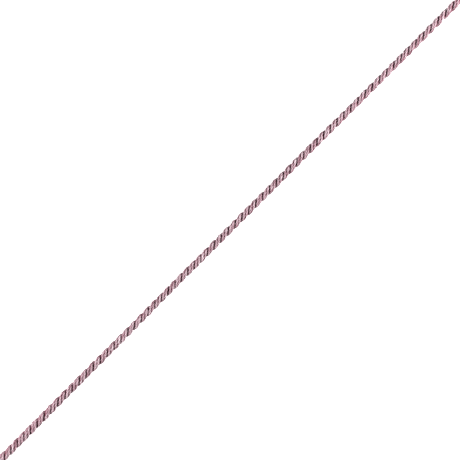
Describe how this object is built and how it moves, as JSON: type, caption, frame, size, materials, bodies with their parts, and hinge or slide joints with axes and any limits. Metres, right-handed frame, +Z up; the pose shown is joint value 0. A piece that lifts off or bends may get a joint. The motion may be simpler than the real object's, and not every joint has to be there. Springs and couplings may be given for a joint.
{
  "type": "twisted cord trim",
  "caption": "Straight cut length of silky twisted cord for trimming cushions, garments and crafts, with a left-handed twist and plainly cut ends.",
  "frame": {"origin": "bottom centre of the bounding box, on the surface that the cord lies on", "axes": "+X along the cord, +Z up from the surface"},
  "size_m": [0.3, 0.0035, 0.0033],
  "materials": {
    "cord_yarn": "satin"
  },
  "bodies": {
    "root": {"twisted_cord": "cord_yarn"}
  },
  "joints": []
}
